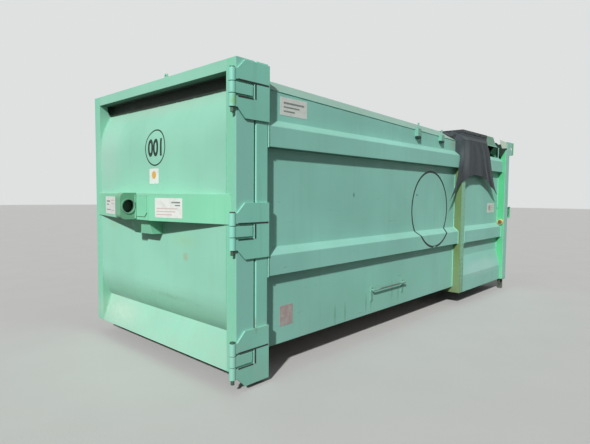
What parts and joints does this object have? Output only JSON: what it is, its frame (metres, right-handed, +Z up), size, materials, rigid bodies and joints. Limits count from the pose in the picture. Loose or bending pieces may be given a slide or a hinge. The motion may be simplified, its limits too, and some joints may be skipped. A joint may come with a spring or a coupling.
{
  "type": "roll-off compactor",
  "caption": "Closed roll-off waste container with a press section, open hopper with loading skirt, side-hinged tailgate and hook frame.",
  "frame": {"origin": "middle of the whole object's footprint, on the ground", "axes": "+X from the tailgate to the hook end, +Y across to the latch side, +Z up"},
  "size_m": [6.3549, 2.55, 2.6409],
  "materials": {
    "body_paint": "satin",
    "tailgate_paint": "satin",
    "frame_paint": "satin",
    "bulkhead_paint": "satin",
    "underframe_paint": "satin",
    "inner_paint": "matte",
    "worn_steel": "worn",
    "hinge_steel": "worn",
    "chrome_rod": "polished",
    "seal_rubber": "matte",
    "skirt_fabric": "woven",
    "grey_paint": "satin",
    "stop_yellow": "worn",
    "stop_button": "worn",
    "inlet_plastic": "moulded",
    "switch_plastic": "moulded"
  },
  "bodies": {
    "container": {"body_side_left": "body_paint", "body_side_right": "body_paint", "control_box": "grey_paint", "cross_members": "underframe_paint", "cylinder_barrels": "inner_paint", "emergency_stop_ring": "stop_yellow", "end_post_left": "frame_paint", "end_post_right": "frame_paint", "floor_plate": "inner_paint", "front_feet": "underframe_paint", "hinge_arms_lower": "frame_paint", "hinge_arms_middle": "frame_paint", "hinge_arms_upper": "frame_paint", "hinge_pins": "hinge_steel", "hook_bar": "worn_steel", "hook_frame": "frame_paint", "hopper_collar": "grey_paint", "hopper_funnel": "inner_paint", "latch_bearings": "frame_paint", "loading_skirt": "skirt_fabric", "oil_tank": "grey_paint", "power_inlet": "inlet_plastic", "press_bulkhead": "bulkhead_paint", "press_chamber": "inner_paint", "press_end_wall": "frame_paint", "press_roof": "body_paint", "press_side_left": "body_paint", "press_side_right": "body_paint", "pump_motor": "grey_paint", "rear_header": "frame_paint", "rear_post_left": "frame_paint", "rear_post_right": "frame_paint", "rear_sill": "frame_paint", "roller_axles": "worn_steel", "roller_mounts": "underframe_paint", "roof": "body_paint", "runner_left": "underframe_paint", "runner_right": "underframe_paint", "side_bar": "body_paint", "skirt_clamp_bars": "worn_steel", "stake_pockets": "body_paint"},
    "tailgate": {"tailgate_frame": "tailgate_paint", "tailgate_panel": "tailgate_paint", "tailgate_lining": "tailgate_paint", "crossbeam": "tailgate_paint", "pull_lug": "tailgate_paint", "hinge_lugs": "tailgate_paint", "tailgate_seal": "seal_rubber", "latch_keepers": "tailgate_paint"},
    "latch": {"latch_bar": "frame_paint"},
    "roller_left": {"rear_roller_left": "worn_steel"},
    "roller_right": {"rear_roller_right": "worn_steel"},
    "ram": {"ram_head": "worn_steel", "cylinder_rods": "chrome_rod"},
    "stages": {"cylinder_stages": "chrome_rod"},
    "stop_button": {"emergency_stop_button": "stop_button"},
    "flap": {"inlet_flap": "inlet_plastic"},
    "service_door": {"service_door": "frame_paint"},
    "door_handle": {"service_door_handle": "worn_steel"},
    "switch": {"main_switch": "switch_plastic"}
  },
  "joints": [
    {"name": "tailgate_hinge", "type": "hinge", "parent": "container", "child": "tailgate", "pos_m": [-2.8585, -1.19, 1.266], "axis": [0, 0, 1], "range_deg": [0, 250]},
    {"name": "latch_turn", "type": "hinge", "parent": "container", "child": "latch", "pos_m": [-2.5605, 1.235, 1], "axis": [0, 0, -1], "range_deg": [-8, 67]},
    {"name": "roller_left_spin", "type": "hinge", "parent": "container", "child": "roller_left", "pos_m": [-2.3935, -0.74, 0.09], "axis": [0, 1, 0], "continuous": true},
    {"name": "roller_right_spin", "type": "hinge", "parent": "container", "child": "roller_right", "pos_m": [-2.3935, 0.74, 0.09], "axis": [0, 1, 0], "continuous": true},
    {"name": "ram_slide", "type": "slide", "parent": "container", "child": "ram", "axis": [-1, 0, 0], "range_m": [0, 0.97]},
    {"name": "stage_slide", "type": "slide", "parent": "container", "child": "stages", "axis": [-1, 0, 0], "range_m": [0, 0.485]},
    {"name": "stop_press", "type": "slide", "parent": "container", "child": "stop_button", "axis": [1, 0, 0], "range_m": [0, 0.008], "stiffness_N_per_m": 900},
    {"name": "flap_hinge", "type": "hinge", "parent": "container", "child": "flap", "pos_m": [3.0365, -1.257, 1.329], "axis": [-1, 0, 0], "range_deg": [0, 110]},
    {"name": "service_door_hinge", "type": "hinge", "parent": "container", "child": "service_door", "pos_m": [2.9835, 1.1, 1.7], "axis": [0, 0, 1], "range_deg": [0, 120]},
    {"name": "door_handle_turn", "type": "hinge", "parent": "service_door", "child": "door_handle", "pos_m": [2.994, 0.525, 1.7], "axis": [1, 0, 0], "range_deg": [0, 90]},
    {"name": "switch_turn", "type": "hinge", "parent": "container", "child": "switch", "pos_m": [3.1215, -0.85, 1.498], "axis": [-1, 0, 0], "range_deg": [0, 90]}
  ],
  "couplings": [
    {"joint": "stage_slide", "follows": "ram_slide", "ratio": 0.5}
  ]
}
